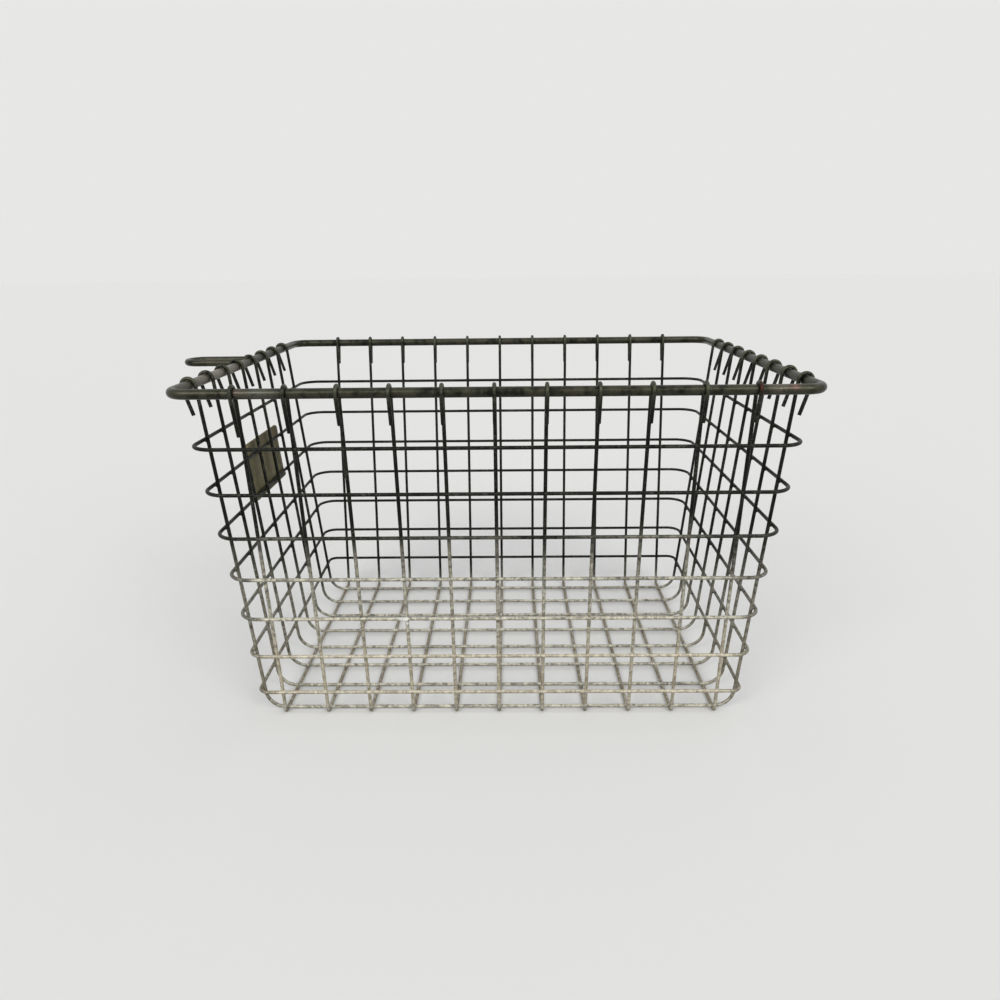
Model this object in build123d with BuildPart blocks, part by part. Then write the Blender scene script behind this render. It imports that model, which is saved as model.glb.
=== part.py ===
"""Wire locker basket: a welded steel wire basket with a heavy rim, a hasp loop and a number plate.

Millimetres. +Z is up, X runs along the basket's length and Y along its width. The origin is the
middle of the floor, level with the surface that the basket stands on. The loop and the plate are
on the end at -X.

Eleven cross wires and eight long wires are each bent into a U: along the floor, up both walls, over
the rim from the inside and down its outside in a short tail. Seven hoops run round them outside.
"""

import os
from math import cos, radians, sin, tan

from build123d import *

# Wire stock
wire_diameter = 2.0
rim_diameter = 5.2
loop_diameter = 4.0
weld_film = 0.05  # space that the weld fills where one wire touches another

# Rim, measured between the middles of the rod
rim_length = 320.0
rim_width = 238.5
rim_height = 195.5
rim_corner_radius = 10.0

# Walls
end_lean = 5.6  # degrees from upright, ends of the basket
side_lean = 6.75  # degrees from upright, long sides
end_bend_radius = 11.4  # where a long wire turns from the floor up an end
cross_mesh = 25.4  # between cross wires, which are spaced evenly
long_pitch = 24.2  # between long wires, counted from the front

# Hooks over the rim
tail_length = 15.5
long_tail_lengths = (21.5, 19.5)  # the front ends of the first cross wires were cut longer
far_tail_length = 18.0  # at +X, the end without the loop
tail_lean = 16.0  # degrees that a tail leans back towards its wall

# Hoops
first_front_height = 16.3  # the lowest hoops rise a little towards the back
first_back_height = 22.6
hoop_front_pitch = 25.05
hoop_back_pitch = 23.9
hoop_corner_radius = 12.5
rim_clear_height = 24.0  # kept free of hoops below the rim, where the tails hang

# Hasp loop
loop_reach = 33.7  # from the rim's middle to the middle of the loop's outer bend
loop_rise = 1.9  # the loop lies on the rim's outer shoulder, this much above its middle
loop_side_gap = 0.7  # between a leg of the loop and the hook beside it

# Number plate
plate_sheet = 0.8
plate_top_edge = 8.2  # past the upper of its two hoops
plate_bottom_edge = 3.7  # past the lower hoop
plate_side_overhang = 6.8  # past one mesh width each side of its middle
plate_shift = 4.0  # from the middle of the end towards the back
plate_corner_radius = 3.0
plate_film = 0.1
hem_gap = 0.2
hem_clearance = 0.4  # from the free edge of a hem to the hoop

# Sizes that follow
wire_radius = wire_diameter / 2
rim_radius = rim_diameter / 2
loop_radius = loop_diameter / 2
crossing = wire_diameter + weld_film  # between the middles of two wires that cross
hook_radius = rim_radius + weld_film + wire_radius
rim_half_length = rim_length / 2
rim_half_width = rim_width / 2
cross_level = wire_radius
long_level = cross_level + crossing
side_bend_radius = crossing  # each cross wire is bent round the outermost long wire


def wall_place(rim_half, lean, height):
    """How far from the middle an upright stands at a height, leaning and touching the rim inside."""
    return rim_half - hook_radius / cos(radians(lean)) - (rim_height - height) * tan(radians(lean))


def bend_start(rim_half, lean, level, bend_radius):
    """How far from the middle a wire on the floor begins to turn up into its wall."""
    return wall_place(rim_half, lean, level) - bend_radius * tan(radians(90 - lean) / 2)


def hoop_place(rim_half, lean, height):
    """How far from the middle a hoop runs, touching the outside of the uprights."""
    return wall_place(rim_half, lean, height) + crossing / cos(radians(lean))


def hoop_height(front_height, back_height, place):
    """How high a hoop is at a place along the end, on its straight run from front to back."""
    front_place = hoop_place(rim_half_width, side_lean, front_height)
    back_place = hoop_place(rim_half_width, side_lean, back_height)
    return front_height + (back_height - front_height) * (place + front_place) / (front_place + back_place)


# The outermost cross wires lie where the long wires turn up, and the others are spaced evenly. The
# first long wire lies in the front corner of the cross wires, and what the pitch leaves over is at
# the back.
cross_reach = bend_start(rim_half_length, end_lean, long_level, end_bend_radius)
long_reach = bend_start(rim_half_width, side_lean, cross_level, side_bend_radius)
cross_count = round(2 * cross_reach / cross_mesh) + 1
cross_pitch = 2 * cross_reach / (cross_count - 1)
cross_places = [index * cross_pitch - cross_reach for index in range(cross_count)]
long_count = int(2 * long_reach / long_pitch) + 1
long_places = [index * long_pitch - long_reach for index in range(long_count)]
hoop_count = int((rim_height - rim_clear_height - first_front_height) / hoop_front_pitch) + 1
hoop_heights = [
    (first_front_height + index * hoop_front_pitch, first_back_height + index * hoop_back_pitch)
    for index in range(hoop_count)
]

os.makedirs("parts", exist_ok=True)


def finish(part, name):
    """Label a finished piece and write it to its file."""
    part.label = name
    export_step(part, f"parts/{name}.step")


def draw_bent_wire(rim_half, lean, level, bend_radius, tails):
    """The middle line of a wire bent into a U, hooked over the rim with a tail at both ends."""
    run_end = bend_start(rim_half, lean, level, bend_radius)
    Line((-run_end, level), (run_end, level))
    for side, tail in zip((-1, 1), tails):
        bend_turn = side * (90 - lean)
        hook_start = 90 - side * (90 + tail_lean)
        hook_turn = side * (180 - lean + tail_lean)
        bend = CenterArc((side * run_end, level + bend_radius), bend_radius, -90, bend_turn)
        hook = CenterArc((side * rim_half, rim_height), hook_radius, hook_start, hook_turn)
        Line(bend @ 1, hook @ 1)
        Line(hook @ 0, (hook @ 0) - (hook % 0) * tail)


def sweep_round(path_wire, radius):
    """Sweep a round bar along a path, inside the part that is being built."""
    with BuildSketch(Plane(origin=path_wire @ 0, z_dir=path_wire % 0)) as section:
        Circle(radius)
    sweep(section.sketch, path=path_wire)


# Rim: one rod bent to a rounded rectangle
with BuildPart() as rim:
    with BuildSketch(Plane.XY.offset(rim_height), mode=Mode.PRIVATE) as rim_outline:
        RectangleRounded(rim_length, rim_width, rim_corner_radius)
    sweep_round(rim_outline.sketch.wire(), rim_radius)
finish(rim.part, "rim")

# Cross wires: along the floor from front to back, underneath the long wires
for index, place in enumerate(cross_places):
    tails = [tail_length, tail_length]
    if index < len(long_tail_lengths):
        tails[0] = long_tail_lengths[index]
    with BuildPart() as cross_wire:
        with BuildLine(Plane(origin=(place, 0, 0), x_dir=(0, 1, 0), z_dir=(1, 0, 0))) as bent:
            draw_bent_wire(rim_half_width, side_lean, cross_level, side_bend_radius, tails)
        sweep_round(bent.wire(), wire_radius)
    finish(cross_wire.part, f"cross_wire_{index + 1:02d}")

# Long wires: along the floor from end to end, on top of the cross wires
end_tails = (tail_length, far_tail_length)
for index, place in enumerate(long_places):
    with BuildPart() as long_wire:
        with BuildLine(Plane(origin=(0, place, 0), x_dir=(1, 0, 0), z_dir=(0, -1, 0))) as bent:
            draw_bent_wire(rim_half_length, end_lean, long_level, end_bend_radius, end_tails)
        sweep_round(bent.wire(), wire_radius)
    finish(long_wire.part, f"long_wire_{index + 1:02d}")

# Hoops: outside the uprights, each with four corners alike that clear the outermost of them
for index, (front_height, back_height) in enumerate(hoop_heights):
    front_half_length = hoop_place(rim_half_length, end_lean, front_height)
    back_half_length = hoop_place(rim_half_length, end_lean, back_height)
    front_place = hoop_place(rim_half_width, side_lean, front_height)
    back_place = hoop_place(rim_half_width, side_lean, back_height)
    front_room = min(front_half_length - cross_places[-1], front_place + long_places[0])
    back_room = min(back_half_length - cross_places[-1], back_place - long_places[-1])
    with BuildPart() as hoop:
        with BuildLine() as hoop_line:
            FilletPolyline(
                (-front_half_length, -front_place, front_height),
                (front_half_length, -front_place, front_height),
                (back_half_length, back_place, back_height),
                (-back_half_length, back_place, back_height),
                radius=min(hoop_corner_radius, front_room, back_room),
                close=True,
            )
        sweep_round(hoop_line.wire(), wire_radius)
    finish(hoop.part, f"hoop_{index + 1}")

# The loop is centred between the two middle uprights of the end
middle = long_count // 2
end_middle = (long_places[middle - 1] + long_places[middle]) / 2

# Hasp loop: a rod bent to a U, level, welded to the outside of the rim between two hooks
loop_width = long_pitch - wire_diameter - loop_diameter - 2 * loop_side_gap
loop_bend_radius = loop_width / 2
loop_bend_place = loop_reach - loop_bend_radius
rim_root = Vector(-rim_half_length, end_middle, rim_height)
loop_root = rim_root + Vector(0, 0, loop_rise)
with BuildPart() as hasp_loop:
    with BuildLine(Plane(origin=loop_root, x_dir=(-1, 0, 0), z_dir=(0, 0, 1))) as loop_path:
        loop_bend = CenterArc((loop_bend_place, 0), loop_bend_radius, -90, 180)
        Line((0, -loop_bend_radius), loop_bend @ 0)
        Line((0, loop_bend_radius), loop_bend @ 1)
    sweep_round(loop_path.wire(), loop_radius)
    with BuildSketch(Plane(origin=rim_root, z_dir=(0, 1, 0))):
        Circle(rim_radius + weld_film)
    extrude(amount=loop_width, both=True, mode=Mode.SUBTRACT)
finish(hasp_loop.part, "hasp_loop")

# Number plate: a sheet welded outside two hoops, hemmed along its top and bottom edge, with
# rounded corners
plate_place = end_middle + plate_shift
lower_height = hoop_height(*hoop_heights[-3], plate_place)
upper_height = hoop_height(*hoop_heights[-2], plate_place)
plate_height = (lower_height + upper_height) / 2
hoop_rise = (upper_height - lower_height) / 2 / cos(radians(end_lean))
plate_depth = crossing + wire_radius + plate_film  # from the uprights' middles to the sheet
plate_half_width = long_pitch + plate_side_overhang
top_fold_place = hoop_rise + plate_top_edge - plate_sheet - hem_gap / 2
foot_fold_place = -hoop_rise - plate_bottom_edge + plate_sheet + hem_gap / 2
hem_end = hoop_rise + wire_radius + hem_clearance
plate_tall = 2 * hoop_rise + plate_top_edge + plate_bottom_edge
plate_thick = 2 * plate_sheet + hem_gap  # with its hems
face_place = (plate_top_edge - plate_bottom_edge) / 2  # the sheet's middle, above the hoops' middle
outward = Vector(-cos(radians(end_lean)), 0, -sin(radians(end_lean)))
wall_middle = Vector(-wall_place(rim_half_length, end_lean, plate_height), plate_place, plate_height)
plate_middle = wall_middle + outward * plate_depth
with BuildPart() as number_plate:
    with BuildSketch(Plane(origin=plate_middle, x_dir=outward, z_dir=(0, 1, 0))):
        with BuildLine():
            Line((0, foot_fold_place), (0, top_fold_place))
            top_fold = CenterArc((-hem_gap / 2, top_fold_place), hem_gap / 2, 0, 180)
            foot_fold = CenterArc((-hem_gap / 2, foot_fold_place), hem_gap / 2, 180, 180)
            Line(top_fold @ 1, (-hem_gap, hem_end))
            Line(foot_fold @ 0, (-hem_gap, -hem_end))
            offset(amount=plate_sheet, side=Side.LEFT)
        make_face()
    extrude(amount=plate_half_width, both=True)
    with BuildSketch(Plane(origin=plate_middle, x_dir=(0, -1, 0), z_dir=outward)):
        with Locations((0, face_place)):
            RectangleRounded(2 * plate_half_width, plate_tall, plate_corner_radius)
    extrude(amount=plate_thick, both=True, mode=Mode.INTERSECT)
finish(number_plate.part, "number_plate")
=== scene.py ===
"""Looks of the wire locker basket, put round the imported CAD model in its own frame.

Metres. +Z is up, X runs along the basket's length and Y along its width. The front is at -Y, and the
hasp loop and the number plate are on the end at -X.
"""

import random
from math import cos, pi, radians, sin, sqrt, tan

import bmesh
import bpy
from mathutils import Matrix, Vector


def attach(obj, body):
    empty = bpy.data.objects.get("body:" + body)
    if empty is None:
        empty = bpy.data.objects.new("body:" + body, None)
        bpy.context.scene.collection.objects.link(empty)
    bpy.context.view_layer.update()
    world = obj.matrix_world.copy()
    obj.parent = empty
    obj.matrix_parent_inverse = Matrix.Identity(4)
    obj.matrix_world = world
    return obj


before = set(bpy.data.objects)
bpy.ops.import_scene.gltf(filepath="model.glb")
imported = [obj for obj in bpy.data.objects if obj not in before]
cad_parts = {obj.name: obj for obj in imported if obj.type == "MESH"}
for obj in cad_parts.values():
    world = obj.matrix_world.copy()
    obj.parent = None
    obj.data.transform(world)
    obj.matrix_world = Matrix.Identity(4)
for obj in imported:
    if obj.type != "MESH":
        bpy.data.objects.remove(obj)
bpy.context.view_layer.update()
mm = 0.001

# Sizes that the CAD model was built from
wire_radius = 1.0 * mm
rim_radius = 2.6 * mm
loop_radius = 2.0 * mm
crossing = 2.05 * mm
rim_half_length = 160.0 * mm
rim_half_width = 119.25 * mm
rim_height = 195.5 * mm
end_lean = radians(5.6)
side_lean = radians(6.75)
floor_level = 1.0 * mm
hook_radius = 3.65 * mm
cross_count = 11
cross_reach = 127.126 * mm
cross_pitch = 2 * cross_reach / (cross_count - 1)
long_count = 8
long_reach = 90.732 * mm
long_pitch = 24.2 * mm
hoop_count = 7
first_front_height = 16.3 * mm
first_back_height = 22.6 * mm
hoop_front_pitch = 25.05 * mm
hoop_back_pitch = 23.9 * mm
loop_half_width = 8.4 * mm
loop_rise = 1.9 * mm

# Sizes of what only the scene has
bead_drop_count = 16
bead_drop_length = 0.95 * mm
bead_drop_radius = 0.8 * mm
crust_reach = 4.2 * mm
crust_drop_count = 24
floor_reach = 12.0

cross_places = [index * cross_pitch - cross_reach for index in range(cross_count)]
long_places = [index * long_pitch - long_reach for index in range(long_count)]
hoop_heights = [
    (first_front_height + index * hoop_front_pitch, first_back_height + index * hoop_back_pitch)
    for index in range(hoop_count)
]
end_middle = (long_places[3] + long_places[4]) / 2


def wall_place(rim_half, lean, height):
    """How far from the middle the middle line of an upright stands at a height."""
    return rim_half - hook_radius / cos(lean) - (rim_height - height) * tan(lean)


def hoop_place(rim_half, lean, height):
    """How far from the middle a hoop runs at a height."""
    return wall_place(rim_half, lean, height) + crossing / cos(lean)


# Camera: the place, turn and lens that the photograph was taken with
camera_data = bpy.data.cameras.new("camera")
camera_data.lens = 27.04
camera_data.sensor_width = 36.0
camera_data.clip_start = 0.01
camera_data.clip_end = 100.0
camera = bpy.data.objects.new("camera", camera_data)
camera.location = (0.00719, -0.47993, 0.25555)
camera_pan = Matrix.Rotation(0.014, 3, "Z")
camera_tilt = Matrix.Rotation(pi / 2 - 0.308, 3, "X")
camera_roll = Matrix.Rotation(-0.011, 3, "Z")
camera.rotation_euler = (camera_pan @ camera_tilt @ camera_roll).to_euler()
bpy.context.scene.collection.objects.link(camera)
bpy.context.scene.camera = camera
bpy.context.scene.view_settings.view_transform = "Standard"


class Link:
    """A shader socket, on which plain arithmetic adds Math nodes."""

    def __init__(self, finish, socket):
        self.finish = finish
        self.socket = socket

    def join(self, operation, first, second, clamp=False):
        settings = {"operation": operation, "use_clamp": clamp}
        return self.finish.add("ShaderNodeMath", settings, {0: first, 1: second})

    def __add__(self, other):
        return self.join("ADD", self, other)

    def __radd__(self, other):
        return self.join("ADD", other, self)

    def __sub__(self, other):
        return self.join("SUBTRACT", self, other)

    def __rsub__(self, other):
        return self.join("SUBTRACT", other, self)

    def __mul__(self, other):
        return self.join("MULTIPLY", self, other)

    def __rmul__(self, other):
        return self.join("MULTIPLY", other, self)

    def clamped(self):
        """Held between 0 and 1."""
        return self.join("MULTIPLY", self, 1.0, clamp=True)

    def higher(self, other):
        """The larger of two values."""
        return self.join("MAXIMUM", self, other)


class Finish:
    """A procedural material with one principled shader."""

    def __init__(self, name):
        self.material = bpy.data.materials.new(name)
        self.material.use_nodes = True
        self.tree = self.material.node_tree
        self.tree.nodes.clear()
        self.shader = self.tree.nodes.new("ShaderNodeBsdfPrincipled")
        output = self.tree.nodes.new("ShaderNodeOutputMaterial")
        self.tree.links.new(self.shader.outputs["BSDF"], output.inputs["Surface"])
        self.place = self.add("ShaderNodeTexCoord", output="Object")

    def put(self, socket, value):
        """Give a socket a link or a plain value."""
        if isinstance(value, Link):
            self.tree.links.new(value.socket, socket)
        else:
            socket.default_value = value

    def add(self, kind, settings=None, inputs=None, output=0):
        """Add a node of any kind: its settings first, then the values or links of its sockets."""
        node = self.tree.nodes.new(kind)
        for name, value in (settings or {}).items():
            setattr(node, name, value)
        for name, value in (inputs or {}).items():
            self.put(node.inputs[name], value)
        return Link(self, node.outputs[output])

    def noise(self, scale, detail, roughness=0.55):
        inputs = {"Vector": self.place, "Scale": scale, "Detail": detail, "Roughness": roughness}
        return self.add("ShaderNodeTexNoise", {}, inputs)

    def ramp(self, value, low, high):
        """0 below one value and 1 above another, smooth between them."""
        settings = {"interpolation_type": "SMOOTHSTEP"}
        inputs = {"Value": value, "From Min": low, "From Max": high}
        return self.add("ShaderNodeMapRange", settings, inputs)

    def blend(self, factor, first, second):
        """Mix two colours. The mix node has its colours in sockets 6 and 7 and gives one in 2."""
        node = self.tree.nodes.new("ShaderNodeMix")
        node.data_type = "RGBA"
        self.put(node.inputs[0], factor)
        for index, value in ((6, first), (7, second)):
            self.put(node.inputs[index], value if isinstance(value, Link) else (*value, 1.0))
        return Link(self, node.outputs[2])

    def near(self, point, reach):
        """1 at a point, falling to 0 at a distance from it."""
        settings = {"operation": "DISTANCE"}
        distance = self.add("ShaderNodeVectorMath", settings, {0: self.place, 1: point}, "Value")
        return 1.0 - self.ramp(distance, 0.0, reach)

    def axis(self, name):
        """One of the three coordinates."""
        return self.add("ShaderNodeSeparateXYZ", {}, {"Vector": self.place}, name)

    def bump(self, height, distance, strength):
        inputs = {"Height": height, "Distance": distance, "Strength": strength}
        self.put(self.shader.inputs["Normal"], self.add("ShaderNodeBump", {}, inputs, "Normal"))

    def wear(self, **looks):
        """Set the shader's own sockets, such as base_color."""
        for name, value in looks.items():
            self.put(self.shader.inputs[name.replace("_", " ").title()], value)
        return self.material


# Patina: how fine its patterns are
stain_scale = 28.0
cloud_scale = 140.0
mottle_scale = 400.0
crust_scale = 760.0
grain_scale = 1400.0

# Patina and painted light: where they change, as the start and the end of each change. The lit top,
# floor and under edges are heights and the end edge is a distance along X. The worn-and-lit and
# chafed-and-warm-lit edges are heights to which a share of the place along Y and the wander of the
# stains are added.
lit_top_edge = (0.186, 0.199)
floor_edge = (0.004, 0.010)
under_edge = (0.0018, 0.0030)
end_edge = (0.127, 0.138)
end_share = 0.6
worn_and_lit_edge = (0.026, 0.070)
chafed_and_warm_lit_edge = (-0.015, 0.025)
depth_share = 0.50
stain_wander = 0.05

# Patina and painted light: their colours and shine
dull_share = 0.52
bright_share = 1.75
chafed_and_warm_lit_color = (0.76, 0.63, 0.42)
under_color = (0.230, 0.165, 0.095)
rust_color = (0.150, 0.078, 0.040)
fleck_color = (0.72, 0.70, 0.61)
pit_color = (0.02, 0.021, 0.016)
patina_shine = 0.25
bump_depth = 0.06 * mm


def age_steel(name, dark, mid, pale, fleck_share, sheen, marks=(), worn_and_lit_top=(0.054, 0.053, 0.036)):
    """Galvanised steel with a dark olive patina.

    It is worn pale and flecked low down at the front, less so at the two ends, and that paleness is
    partly painted light; on top of the rim it has a painted highlight. A mark is a spot of its own
    colour, with its
    place and its reach: mostly a stain, and on the rim and plate some are painted light or shade.
    """
    finish = Finish(name)
    stains = finish.noise(stain_scale, 4.0)
    cloud = finish.noise(cloud_scale, 5.0, 0.62)
    grain = finish.noise(grain_scale, 3.0, 0.6)
    crust = finish.noise(crust_scale, 5.0, 0.72)
    mottle = finish.noise(mottle_scale, 5.0, 0.68)
    height = finish.axis("Z")
    depth = height + finish.axis("Y") * depth_share + (stains - 0.5) * stain_wander
    sideways = finish.add("ShaderNodeMath", {"operation": "ABSOLUTE"}, {0: finish.axis("X")})
    # low is 1 low down at the front, where the coat is both worn pale and painted lighter as if lit
    low = (1.0 - finish.ramp(depth, *worn_and_lit_edge)) * (1.0 - finish.ramp(sideways, *end_edge) * end_share)

    # The dark coat, with wear and a painted highlight on top of the rim
    color = finish.blend(finish.ramp(cloud, 0.34, 0.68), dark, mid)
    lit_top = finish.ramp(height, *lit_top_edge) * finish.ramp(cloud, 0.3, 0.6)
    color = finish.blend(lit_top, color, worn_and_lit_top)

    # Worn pale and painted light low down, with warm painted light and chafing on the lowest hoops,
    # and brown underneath
    dull_pale = [value * dull_share for value in pale]
    bright_pale = [value * bright_share for value in pale]
    worn_and_lit_pale = finish.blend(finish.ramp(mottle, 0.36, 0.62), dull_pale, bright_pale)
    color = finish.blend((low * finish.ramp(cloud, 0.1, 0.5)).clamped(), color, worn_and_lit_pale)
    # Chafing on the lowest front hoops, with warm painted bounce light mixed in
    chafed_and_warm_lit = (1.0 - finish.ramp(depth, *chafed_and_warm_lit_edge)) * finish.ramp(height, *floor_edge) * low
    color = finish.blend((chafed_and_warm_lit * 0.28).clamped(), color, chafed_and_warm_lit_color)
    under = 1.0 - finish.ramp(height, *under_edge)
    color = finish.blend(under * 0.6, color, under_color)

    # Rust, pale flecks, marks (among them painted highlight, reflection and shade) and fine dark pits
    rusty = finish.ramp(stains, 0.56, 0.72) * finish.ramp(cloud, 0.48, 0.7)
    color = finish.blend((rusty * (low * 0.35 + 0.25)).clamped(), color, rust_color)
    flecks = finish.ramp(crust, 0.61 - fleck_share, 0.70 - fleck_share)
    flecks = flecks * finish.ramp(stains, 0.36, 0.6) * (low * 0.92 + 0.08)
    color = finish.blend(flecks.clamped(), color, fleck_color)
    for point, reach, mark_color in marks:
        mark = finish.near(point, reach) * finish.ramp(crust, 0.30, 0.50)
        color = finish.blend(mark.clamped(), color, mark_color)
    pits = finish.ramp(grain, 0.35, 0.75) * (0.28 + low * 0.22)
    color = finish.blend(pits.clamped(), color, pit_color)

    finish.bump(grain * 0.35 + crust * 0.4 + flecks * 0.8, bump_depth, 0.8)
    finish.shader.inputs["Specular IOR Level"].default_value = patina_shine
    return finish.wear(
        base_color=color,
        metallic=(0.72 - flecks * 0.7 - rusty * 0.5 - low * 0.30).clamped(),
        roughness=(sheen + (cloud - 0.5) * 0.3 + flecks * 0.35).clamped(),
    )


# The wires' near-black dark and mid colours also stand for painted shade on the upper wires, and their
# pale colour low down for painted light
wire_finish = age_steel(
    "wire_patina",
    dark=(0.004, 0.0045, 0.0035),
    mid=(0.016, 0.0175, 0.013),
    pale=(0.42, 0.400, 0.325),
    fleck_share=0.09,
    sheen=0.46,
    # Colour on top of the hooks: wear together with a painted highlight
    worn_and_lit_top=(0.070, 0.074, 0.050),
    marks=[
        ((0.127, -0.1235, 0.1975), 0.0045, (0.052, 0.013, 0.010)),
        ((-0.0535, -0.1022, 0.0664), 0.0045, (0.80, 0.80, 0.75)),
    ],
)
rim_finish = age_steel(
    "rim_patina",
    dark=(0.007, 0.0075, 0.005),
    mid=(0.027, 0.028, 0.019),
    pale=(0.36, 0.355, 0.285),
    fleck_share=0.0,
    sheen=0.36,
    marks=[
        ((0.1370, -0.1205, 0.1978), 0.0075, (0.115, 0.105, 0.080)),
        ((0.1436, -0.1205, 0.1978), 0.0040, (0.160, 0.095, 0.075)),
        ((-0.1235, -0.1215, 0.197), 0.005, (0.105, 0.080, 0.062)),
        # Lighter worn zone on the front rim, partly a painted highlight
        ((-0.1140, -0.1215, 0.197), 0.014, (0.095, 0.093, 0.078)),
        # Painted reflection of the pale surroundings on the receding left rim
        ((-0.1600, -0.0520, 0.198), 0.068, (0.215, 0.198, 0.160)),
    ],
)
loop_finish = age_steel(
    "loop_patina",
    dark=(0.012, 0.0125, 0.009),
    mid=(0.046, 0.045, 0.033),
    pale=(0.36, 0.355, 0.285),
    fleck_share=0.04,
    sheen=0.38,
)
# On the plate: brown dirt with painted contact shade along the hoop at its top hem, the same darker
# along the hoop at its foot hem, and a paler strip towards the back that is painted light
plate_dirt_and_painted_light = []
for place in (-0.022, -0.008, 0.006, 0.020):
    # Dirt along the hoops at the top and foot hems, darkened by painted contact shade
    plate_dirt_and_painted_light.append(((-0.153, place, 0.1465), 0.010, (0.105, 0.080, 0.037)))
    plate_dirt_and_painted_light.append(((-0.150, place, 0.1145), 0.008, (0.055, 0.048, 0.030)))
# A paler strip towards the back edge of the plate: painted light
for level in (0.122, 0.132, 0.142):
    plate_dirt_and_painted_light.append(((-0.152, 0.0330, level), 0.009, (0.200, 0.207, 0.158)))
plate_finish = age_steel(
    "plate_patina",
    dark=(0.100, 0.086, 0.040),
    mid=(0.192, 0.168, 0.085),
    pale=(0.30, 0.28, 0.19),
    fleck_share=0.03,
    sheen=0.50,
    marks=plate_dirt_and_painted_light,
)
crust_coat = Finish("zinc_crust")
crust_grain = crust_coat.ramp(crust_coat.noise(900.0, 4.0), 0.36, 0.52)
crust_color = crust_coat.blend(crust_grain, (0.55, 0.55, 0.51), (0.88, 0.88, 0.85))
crust_finish = crust_coat.wear(base_color=crust_color, roughness=0.8)
weld_finish = age_steel(
    "weld_scale",
    dark=(0.014, 0.013, 0.010),
    mid=(0.045, 0.042, 0.031),
    pale=(0.40, 0.39, 0.32),
    fleck_share=0.10,
    sheen=0.55,
    marks=[((-0.0520, -0.1013, 0.0664), 0.005, (0.80, 0.80, 0.75))],
)

node_finishes = {"rim": rim_finish, "hasp_loop": loop_finish, "number_plate": plate_finish}
for node_name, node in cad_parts.items():
    node.data.materials.clear()
    node.data.materials.append(node_finishes.get(node_name, wire_finish))


def add_piece(name, bm, finish):
    """Make a finished bmesh a smooth piece of the basket."""
    mesh = bpy.data.meshes.new(name)
    bm.to_mesh(mesh)
    bm.free()
    mesh.shade_smooth()
    mesh.materials.append(finish)
    piece = bpy.data.objects.new(name, mesh)
    bpy.context.scene.collection.objects.link(piece)
    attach(piece, "root")
    return piece


def stand_on(point, normal, along):
    """A place matrix: its Z along a normal and its X along a wire."""
    side = normal.cross(along).normalized()
    turn = Matrix((normal.cross(-side).normalized(), side, normal)).transposed()
    return Matrix.Translation(point) @ turn.to_4x4()


weld_draw = random.Random(4)


def add_nugget(bm, point, normal, along):
    """One spot weld: a lens of flash squeezed out between two wires that cross."""
    wide = wire_radius * weld_draw.uniform(1.05, 1.4)
    high = wire_radius * weld_draw.uniform(0.62, 0.85)
    turn = Matrix.Rotation(weld_draw.uniform(0, pi), 4, "Z")
    scale = Matrix.Diagonal((wide, wide * weld_draw.uniform(0.85, 1.1), high, 1.0))
    matrix = stand_on(point, normal, along) @ turn @ scale
    bmesh.ops.create_icosphere(bm, subdivisions=2, radius=1.0, matrix=matrix)


along_x = Vector((1, 0, 0))
along_y = Vector((0, 1, 0))
up = Vector((0, 0, 1))

# Spot welds where the long wires lie on the cross wires
floor_welds = bmesh.new()
for cross_place in cross_places:
    for long_place in long_places:
        point = Vector((cross_place, long_place, floor_level + crossing / 2))
        add_nugget(floor_welds, point, up, along_x)
add_piece("floor_welds", floor_welds, weld_finish)

# Spot welds where the hoops pass the uprights
hoop_welds = bmesh.new()
for front_height, back_height in hoop_heights:
    for side, height in ((-1, front_height), (1, back_height)):
        normal = Vector((0, side * cos(side_lean), -sin(side_lean)))
        for cross_place in cross_places:
            stand = Vector((cross_place, side * wall_place(rim_half_width, side_lean, height), height))
            add_nugget(hoop_welds, stand + normal * crossing / 2, normal, along_x)
    front_place = hoop_place(rim_half_width, side_lean, front_height)
    back_place = hoop_place(rim_half_width, side_lean, back_height)
    for long_place in long_places:
        share = (long_place + front_place) / (front_place + back_place)
        height = front_height + (back_height - front_height) * share
        for side in (-1, 1):
            normal = Vector((side * cos(end_lean), 0, -sin(end_lean)))
            stand = Vector((side * wall_place(rim_half_length, end_lean, height), long_place, height))
            add_nugget(hoop_welds, stand + normal * crossing / 2, normal, along_y)
add_piece("hoop_welds", hoop_welds, weld_finish)

# White crust of zinc, in drops on the third hoop and the front upright that it crosses there
crust_drops = bmesh.new()
crust_height = hoop_heights[2][0]
crust_place = hoop_place(rim_half_width, side_lean, crust_height)
crust_middle = Vector((cross_places[3], -crust_place, crust_height))
crust_seat = 0.8 * wire_radius
crust_draw = random.Random(11)
for index in range(crust_drop_count):
    reach = crust_reach * crust_draw.uniform(0.0, 1.0)
    sideways = crust_draw.uniform(-0.6, 0.6) * wire_radius
    if index % 3 == 2:
        front = crossing - crust_seat
        shift = Vector((sideways, front + reach * sin(side_lean), -reach * cos(side_lean)))
    else:
        shift = Vector((-reach * crust_draw.uniform(-0.3, 1.0), -crust_seat, sideways))
    size = crust_draw.uniform(0.45, 0.80) * mm
    drop = Matrix.Diagonal((size * 1.3, size, size, 1.0))
    matrix = Matrix.Translation(crust_middle + shift) @ drop
    bmesh.ops.create_icosphere(crust_drops, subdivisions=2, radius=1.0, matrix=matrix)
add_piece("zinc_crust", crust_drops, crust_finish)

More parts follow.
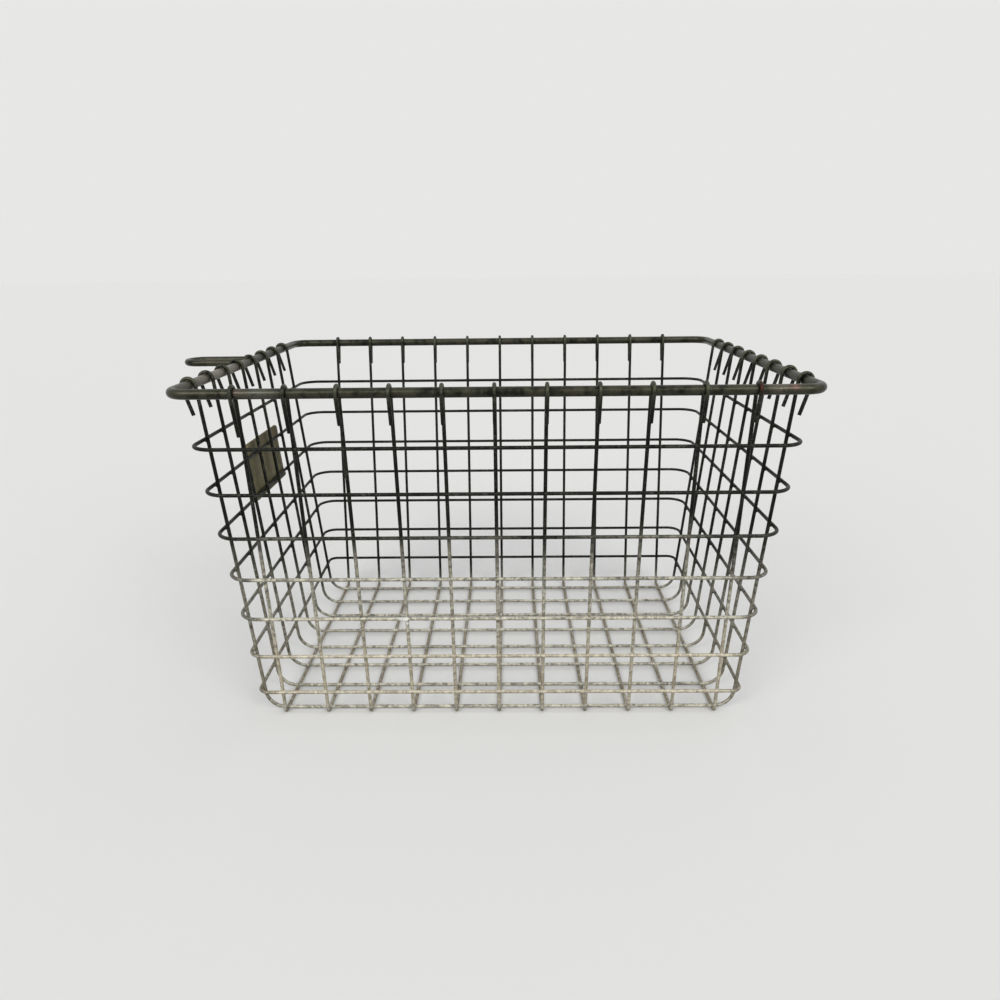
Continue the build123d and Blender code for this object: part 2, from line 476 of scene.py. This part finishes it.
# Weld bead round each leg of the hasp loop, a row of small overlapping drops on the rim
loop_welds = bmesh.new()
for side in (-1, 1):
    for index in range(bead_drop_count):
        angle = 2 * pi * index / bead_drop_count
        out = Vector((0, cos(angle), sin(angle)))
        point = Vector((-rim_half_length, end_middle + side * loop_half_width, rim_height + loop_rise))
        point += out * loop_radius
        rise = point.z - rim_height
        if rise < rim_radius:
            point.x -= sqrt(rim_radius**2 - rise**2)
        drop = Matrix.Diagonal((bead_drop_length, bead_drop_radius, bead_drop_radius, 1.0))
        matrix = Matrix.Translation(point) @ drop
        bmesh.ops.create_icosphere(loop_welds, subdivisions=2, radius=1.0, matrix=matrix)
add_piece("loop_welds", loop_welds, weld_finish)

# Floor: pale for the camera and for metal that mirrors it, duller for the light it throws back up
floor_mesh = bpy.data.meshes.new("floor")
floor_bm = bmesh.new()
bmesh.ops.create_grid(floor_bm, x_segments=1, y_segments=1, size=floor_reach)
floor_bm.to_mesh(floor_mesh)
floor_bm.free()
floor = bpy.data.objects.new("floor", floor_mesh)
bpy.context.scene.collection.objects.link(floor)
floor_finish = Finish("pale_floor")
seen = floor_finish.add("ShaderNodeLightPath", output="Is Camera Ray")
for kind in ("Is Glossy Ray", "Is Transmission Ray"):
    seen = seen.higher(floor_finish.add("ShaderNodeLightPath", output=kind))
floor_color = floor_finish.blend(seen, (0.06, 0.055, 0.045), (0.80, 0.795, 0.775))
floor_mesh.materials.append(floor_finish.wear(base_color=floor_color, roughness=0.9))

# World: a plain soft light, with a pale background for the camera and for metal that mirrors it
world = bpy.data.worlds.new("soft_light")
bpy.context.scene.world = world
world.use_nodes = True
world_nodes = world.node_tree.nodes
world_links = world.node_tree.links
background = world_nodes["Background"]
background.inputs["Color"].default_value = (0.93, 0.96, 1.0, 1.0)
background.inputs["Strength"].default_value = 0.42
pale = world_nodes.new("ShaderNodeBackground")
pale.inputs["Color"].default_value = (0.80, 0.805, 0.79, 1.0)
pale.inputs["Strength"].default_value = 1.0
path = world_nodes.new("ShaderNodeLightPath")
mirrored = world_nodes.new("ShaderNodeMath")
mirrored.operation = "MAXIMUM"
world_links.new(path.outputs["Is Glossy Ray"], mirrored.inputs[0])
world_links.new(path.outputs["Is Transmission Ray"], mirrored.inputs[1])
seen_world = world_nodes.new("ShaderNodeMath")
seen_world.operation = "MAXIMUM"
world_links.new(path.outputs["Is Camera Ray"], seen_world.inputs[0])
world_links.new(mirrored.outputs["Value"], seen_world.inputs[1])
choice = world_nodes.new("ShaderNodeMixShader")
world_links.new(seen_world.outputs["Value"], choice.inputs["Fac"])
world_links.new(background.outputs["Background"], choice.inputs[1])
world_links.new(pale.outputs["Background"], choice.inputs[2])
world_links.new(choice.outputs["Shader"], world_nodes["World Output"].inputs["Surface"])


def add_sun(name, strength, spread, toward, color):
    """A large soft light that shines along a direction."""
    data = bpy.data.lights.new(name, "SUN")
    data.energy = strength
    data.angle = radians(spread)
    data.color = color
    sun = bpy.data.objects.new(name, data)
    sun.rotation_euler = Vector(toward).to_track_quat("-Z", "Y").to_euler()
    bpy.context.scene.collection.objects.link(sun)


add_sun("left_window_light", 1.25, 30.0, (0.50, 0.70, -0.55), (1.0, 0.985, 0.96))
add_sun("right_window_light", 1.25, 30.0, (-0.50, 0.70, -0.55), (1.0, 0.985, 0.96))
add_sun("fill_light", 0.5, 80.0, (-0.5, -0.2, -1.0), (0.95, 0.97, 1.0))
